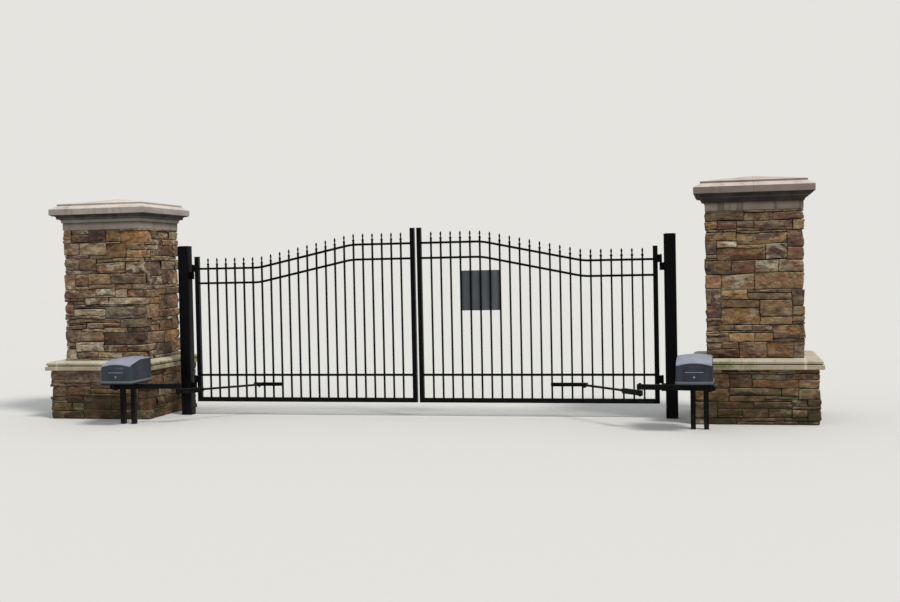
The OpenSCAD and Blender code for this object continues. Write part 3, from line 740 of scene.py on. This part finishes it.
post_middle = 2.8792
picket_count, picket_pitch, first_picket = 22, 0.1143, 0.1800
picket_size, rail_size, stile_size = 0.019, 0.0254, 0.0508
picket_places = first_picket + picket_pitch * np.arange(picket_count)
leaf_edge, stile_inner, stile_outer = 0.0654, 2.6949, 2.7457
top_rail, rail_gap, rail_rise, bend = 1.755, 0.174, 0.243, 0.735
hinge_flat_pitches, meeting_flat_pitches = 6.05, 5.55
lower_rail, bottom_rail = 0.478, 0.185
finial_foot = 0.037
leaf_lug_half, barrel_play = 0.008, 0.001
bracket_low, bracket_high = 0.349, 0.391
stile_corner, bar_edge, bracket_edge, leaf_bead = 0.003, 0.0012, 0.0016, 0.0022


def rail_height(x):
    """Height of the top rail at a distance from the gate's middle: level, then an arc of radius
    bend, a straight slope, the same arc turned over, and level again at the meeting stile."""
    start = stile_inner - hinge_flat_pitches * picket_pitch
    run = start - (leaf_edge + meeting_flat_pitches * picket_pitch)
    apart = math.hypot(run, 2 * bend - rail_rise)
    angle = math.atan2(run, 2 * bend - rail_rise) - math.acos(2 * bend / apart)
    across, gain = bend * math.sin(angle), bend * (1 - math.cos(angle))
    u = np.clip(start - np.asarray(x), 0, run)
    low_arc = bend - np.sqrt(bend ** 2 - np.minimum(u, across) ** 2)
    high_arc = rail_rise - bend + np.sqrt(bend ** 2 - np.minimum(run - u, across) ** 2)
    slope = gain + (u - across) * math.tan(angle)
    return top_rail + np.where(u < across, low_arc, np.where(u > run - across, high_arc, slope))


def turned_finials(side, outward):
    """Turned cast finials as one mesh: a profile of radius and height, rounded by a Catmull-Rom
    curve through its points and revolved about each picket, with a pole at foot and point."""
    profile = np.array([(12, 0), (12.2, 2.4), (11.4, 4.6), (14.6, 8.5), (16, 14), (14.6, 19.5), (10.8, 23),
                        (8.4, 27), (7.6, 32), (7.4, 38), (7.7, 43), (8.5, 48), (9.9, 54), (10.8, 59.5),
                        (11.1, 64), (10.8, 69), (9.4, 75), (7.0, 81), (4.4, 86.5), (2.0, 91)]) / 1000
    tip_height, around = 0.093, 20
    ends_doubled = np.vstack([profile[:1], profile, profile[-1:]])
    before, here, after, last = (ends_doubled[i:i + len(profile) - 1, None] for i in range(4))
    t = np.array([0, 0.5])[None, :, None]
    curve = 0.5 * (2 * here + (after - before) * t + (2 * before - 5 * here + 4 * after - last) * t ** 2
                   + (3 * here - before - 3 * after + last) * t ** 3)
    radius, height = np.vstack([curve.reshape(-1, 2), profile[-1:]]).T
    turn = np.arange(around) * 2 * np.pi / around
    x, y = radius[:, None] * np.cos(turn), radius[:, None] * np.sin(turn)
    ring = np.stack([x, y, height[:, None] + 0 * turn], -1)
    ring = np.concatenate([ring.reshape(-1, 3), [(0, 0, 0.0), (0, 0, tip_height)]])
    foot_x, foot_z = post_middle + outward * picket_places, rail_height(picket_places) + finial_foot
    feet = np.stack([foot_x, 0 * picket_places, foot_z], 1)
    points = feet[:, None] + ring[None]
    index = np.arange(len(radius) * around).reshape(len(radius), around)
    foot, tip = len(radius) * around, len(radius) * around + 1
    ends = [(int(b), int(a), foot) for a, b in zip(index[0], np.roll(index[0], -1))]
    ends += [(int(a), int(b), tip) for a, b in zip(index[-1], np.roll(index[-1], -1))]
    faces = []
    for number in range(len(feet)):
        base = number * len(ring)
        faces += (ring_faces(index) + base).tolist() + [tuple(i + base for i in face) for face in ends]
    piece = solid(f"{side}_turned_finials", points, faces, gate_paint.material, "gate_paint",
                  f"{side}_leaf", f"{side}_finials")
    piece.data.shade_smooth()
    return piece


for side, outward in (("left", -1), ("right", 1)):
    leaf = f"{side}_leaf"
    for tube in ("hinge_stile", "meeting_stile", "bottom_rail"):
        rounded(f"{side}_{tube}", gate_paint, leaf, stile_corner)
    rounded(f"{side}_picket_panel", gate_paint, leaf, bar_edge, 1)
    rounded(f"{side}_leaf_hinges", gate_paint, leaf, barrel_edge)
    rounded(f"{side}_arm_bracket", gate_paint, leaf, bracket_edge)
    turned_finials(side, outward)
    half, half_rail = picket_size / 2, rail_size / 2
    middles, heights = post_middle + outward * picket_places, rail_height(picket_places)[:, None]
    x = middles[:, None] + np.array([-half, half])[None]
    rise = (rail_height(picket_places + half) - rail_height(picket_places - half))[:, None]
    slope = rise * outward * np.array([-0.5, 0.5])[None]
    crossings = [np.full_like(x, bottom_rail + stile_size / 2)]
    for rail in (np.full_like(x, lower_rail), heights + slope, heights - rail_gap + slope):
        crossings += [rail - half_rail, rail + half_rail]
    starts = np.concatenate([np.stack([x, 0 * x - half, z], -1).reshape(-1, 3) for z in crossings])
    ends = starts + (0, picket_size, 0)
    lines = []
    for at in (leaf_edge, stile_inner):
        end_x, rail_here = post_middle + outward * at, float(rail_height(at))
        for z, size in ((bottom_rail, stile_size), (lower_rail, rail_size), (rail_here, rail_size),
                        (rail_here - rail_gap, rail_size)):
            low, high = (end_x, -size / 2, z - size / 2), (end_x, size / 2, z + size / 2)
            lines += box_edges(low, high, around_end)
    for top in hinge_tops:
        lines += lug_welds(post_middle + outward * stile_outer, leaf_lug_half, top + barrel_play)
    bar_low, bar_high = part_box(f"{side}_arm_bracket")
    for middle_x in middles[(middles > bar_low.x) & (middles < bar_high.x)]:
        for z in (bracket_low, bracket_high):
            lines.append(((middle_x - half, -half, z), (middle_x + half, -half, z)))
    line_starts, line_ends = zip(*lines)
    starts, ends = np.concatenate([starts, line_starts]), np.concatenate([ends, line_ends])
    weld_beads(f"{side}_leaf_welds", starts, ends, leaf_bead, leaf)

# Sign plate
# A blank square of painted steel sheet behind the pickets of the right leaf, charcoal and matt,
# held by four small hex-head screws with washers, driven from behind into two of the pickets.


def hex_fasteners(name, places, towards, across_flats, head, body, finish, slot):
    """Hex heads on washers as one mesh: rings of twelve columns at growing heights, round for the
    washer and hexagonal for the head with its chamfered top, all turned to look along towards."""
    places, around = np.asarray(places, float), 12
    turn = np.arange(around) * 2 * np.pi / around
    to_flat = np.cos((turn + np.pi / 6) % (np.pi / 3) - np.pi / 6)
    hexagon = across_flats / 2 / np.maximum(to_flat, 0.5)
    rim, washer, sunk = np.full(around, across_flats * 0.80), across_flats * 0.12, -0.0004
    rings = ((rim, sunk), (rim, washer * 0.8), (rim * 0.97, washer), (hexagon, washer),
             (hexagon, washer + head * 0.86), (hexagon * 0.90, washer + head))
    shape = np.stack([np.stack([r * np.cos(turn), r * np.sin(turn), 0 * turn + h], 1) for r, h in rings])
    ahead = np.asarray(towards, float)
    aside = np.cross(ahead, (0, 0, 1.0) if abs(ahead[2]) < 0.7 else (0, 1.0, 0))
    over = np.cross(ahead, aside)
    shape = shape[..., :1] * aside + shape[..., 1:2] * over + shape[..., 2:] * ahead
    return ring_solids(name, places[:, None, None] + shape, finish, slot, body)


plate = Finish("charcoal plate paint", 0.6)
plate_clouds = plate.between(plate.noise(5.0, (1, 1, 0.5), 5), 0.35, 0.7)
plate_tone = plate.mixed(plate_clouds, linear(60, 66, 70), linear(74, 80, 85))
plate_streaks = plate.between(plate.noise(26.0, (1, 1, 0.06), 5, 0.7), 0.55, 0.78, 0, 0.35)
plate.colour(plate.mixed(plate_streaks, plate_tone, linear(98, 98, 95)))
plate.bump(plate.noise(300.0, detail=3), 0.0006, 0.4)
sheet_edge, screw_inset, screw_pickets = 0.0008, 0.03, (4, 6)
rounded("right_sign_plate", plate, "right_leaf", sheet_edge)
plate_low, plate_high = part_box("right_sign_plate")
screws = [(post_middle + picket_places[picket], plate_high.y, z) for picket in screw_pickets
          for z in (plate_low.z + screw_inset, plate_high.z - screw_inset)]
screw_flats, screw_head = 0.008, 0.004
hex_fasteners("plate_screws", screws, (0, 1, 0), screw_flats, screw_head, "right_leaf", plate,
              "sign_plate")

# Operators
# Each operator stands in front of its pier on two square legs: a steel base on a folded channel, and
# a crank and link arm that move the leaf, all powder coated, under a moulded slate plastic cover.

coat = Finish("black powder coat", 0.46, Specular_IOR_Level=0.07)
coat_dust = coat.between(coat.noise(26.0, detail=5), 0.35, 0.65, 0.2, 0.75)
coat_dust = coat.times(coat.facing_up(0.3, 0.95), coat_dust)
coat_clouds = coat.between(coat.noise(12.0, detail=5), 0.35, 0.7)
coat_tone = coat.mixed(coat_clouds, linear(8, 9, 11), linear(16, 16, 18))
coat_splash = coat.between(coat.height(), 0.01, 0.26, 0.30, 0.0)
splash_areas = coat.between(coat.noise(34.0, (1, 1, 0.6), 6), 0.42, 0.7)
coat_dirt = coat.maths("MAXIMUM", coat_dust, coat.times(coat_splash, splash_areas))
coat.colour(coat.mixed(coat_dirt, coat_tone, linear(72, 67, 61)))
coat.bump(coat.noise(520.0, detail=2), 0.0008, 0.6)

hood = Finish("slate moulded plastic", 0.5, Specular_IOR_Level=0.14)
# Painted sky light on the cover's top: paler and bluer where it faces up.
painted_sky_sheen = hood.between(hood.noise(9.0, detail=5), 0.3, 0.7, 0.8, 1.0)
painted_sky_sheen = hood.times(hood.facing_up(0.2, 0.9), painted_sky_sheen)
hood_clouds = hood.between(hood.noise(7.0, (1, 1, 0.5), 5), 0.35, 0.7)
hood_tone = hood.mixed(hood_clouds, linear(42, 47, 55), linear(54, 59, 68))
lip_foot, lip_edge, lip_ends, shell_starts = 0.492, 0.516, 0.5176, 0.5186
# The lip is a paler grey that rises towards its top edge as a painted highlight.
lip = hood.between(hood.height(), lip_ends, shell_starts, 1.0, 0.0)
lip = hood.times(lip, hood.between(hood.height(), lip_foot, lip_edge, 0.25, 0.9))
hood_tone = hood.mixed(lip, hood_tone, linear(108, 112, 116))
hood.colour(hood.mixed(painted_sky_sheen, hood_tone, linear(152, 156, 171)))
hood.bump(hood.noise(900.0, detail=2), 0.0005, 0.6)

# Pale grey of the grip: a painted highlight along the slot of the cover.
grip_highlight_grey = Finish("pale grip as painted highlight", 0.42)
grip_clouds = grip_highlight_grey.noise(60.0, detail=4)
grip_highlight_grey.colour(grip_highlight_grey.mixed(grip_clouds, linear(112, 115, 126), linear(134, 137, 147)))


def slot_grip(name, middle_x, front_y, z, long, tall, deep, body):
    """Moulded insert with round ends in the slot of a cover, pale grey as a painted highlight along the
    slot: the outline is a stadium of long by tall, and its rings step forward along a quarter ellipse,
    so that the front is a soft roll."""
    half, r, let_in, half_round = long / 2 - tall / 2, tall / 2, 0.002, 9
    turn = np.linspace(-np.pi / 2, np.pi / 2, half_round)
    turn = np.concatenate([turn, np.linspace(np.pi / 2, 3 * np.pi / 2, half_round)])
    side_x = np.repeat([half, -half], half_round)
    rings = []
    for step in (0.0, 0.35, 0.65, 0.88, 1.0):
        shrunk = r * math.sqrt(1 - (0.92 * step) ** 2)
        y = 0 * turn + (front_y + let_in - (deep + let_in) * step)
        rings.append(np.stack([middle_x + side_x + shrunk * np.cos(turn), y, z + shrunk * np.sin(turn)], 1))
    piece = ring_solids(name, [rings], grip_highlight_grey, "operator_plastic", body)
    piece.data.shade_smooth()
    return piece


lock_metal = Finish("worn zinc lock", 0.38, Metallic=0.6)
lock_wear = lock_metal.noise(300.0, detail=4)
lock_metal.colour(lock_metal.mixed(lock_wear, linear(124, 126, 128), linear(168, 170, 172)))


def cam_lock(name, middle_x, front_y, z, body):
    """Cam lock of the cover: a flanged collar about a sunk plug with a key slot. Rings of radius
    and depth are joined to an inner slot outline of 24 points, held to half widths in x and z."""
    around = 24
    turn = np.arange(around) * 2 * np.pi / around
    collar = ((0.0110, 0.0040), (0.0110, 0.0004), (0.0104, -0.0006), (0.0082, -0.0010), (0.0074, -0.0002),
              (0.0070, 0.0006), (0.0052, 0.0004))
    plug, key_half_wide, key_half_tall = 0.0052, 0.0007, 0.0036
    rings = [np.stack([middle_x + r * np.cos(turn), 0 * turn + (front_y + y), z + r * np.sin(turn)], 1)
             for r, y in collar]
    key_x = np.clip(plug * np.cos(turn), -key_half_wide, key_half_wide)
    key_z = np.clip(plug * np.sin(turn), -key_half_tall, key_half_tall)
    for y in (0.0004, 0.0034):
        rings.append(np.stack([middle_x + key_x, 0 * turn + (front_y + y), z + key_z], 1))
    return ring_solids(name, [rings], lock_metal, "operator_steel", body)


grip_height, grip_long, grip_tall, grip_deep, slot_deep = 0.6125, 0.186, 0.0096, 0.006, 0.008
lock_height, lock_proud = 0.564, 0.0005
lip_screw_height, lip_screw_inset, lip_screw_flats, lip_screw_head = 0.504, 0.035, 0.009, 0.0035
leg_corner, base_edge, arm_edge, cover_edge = 0.0025, 0.0015, 0.002, 0.004
for side in ("left", "right"):
    rounded(f"{side}_operator_pedestal", coat, masonry, leg_corner)
    rounded(f"{side}_operator_base", coat, masonry, base_edge)
    rounded(f"{side}_crank_arm", coat, f"{side}_crank", arm_edge)
    rounded(f"{side}_link_arm", coat, f"{side}_link", arm_edge)
    rounded(f"{side}_operator_cover", hood, masonry, cover_edge, 3)
    cover_low, cover_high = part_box(f"{side}_operator_cover")
    cover_middle = (cover_low.x + cover_high.x) / 2
    slot_grip(f"{side}_cover_grip", cover_middle, cover_low.y + slot_deep, grip_height,
              grip_long, grip_tall, grip_deep, masonry)
    cam_lock(f"{side}_cover_lock", cover_middle, cover_low.y - lock_proud, lock_height, masonry)
    lip_screws = [(x, cover_low.y, lip_screw_height)
                  for x in (cover_low.x + lip_screw_inset, cover_high.x - lip_screw_inset)]
    hex_fasteners(f"{side}_cover_screws", lip_screws, (0, -1, 0), lip_screw_flats, lip_screw_head,
                  masonry, hood, "operator_plastic")
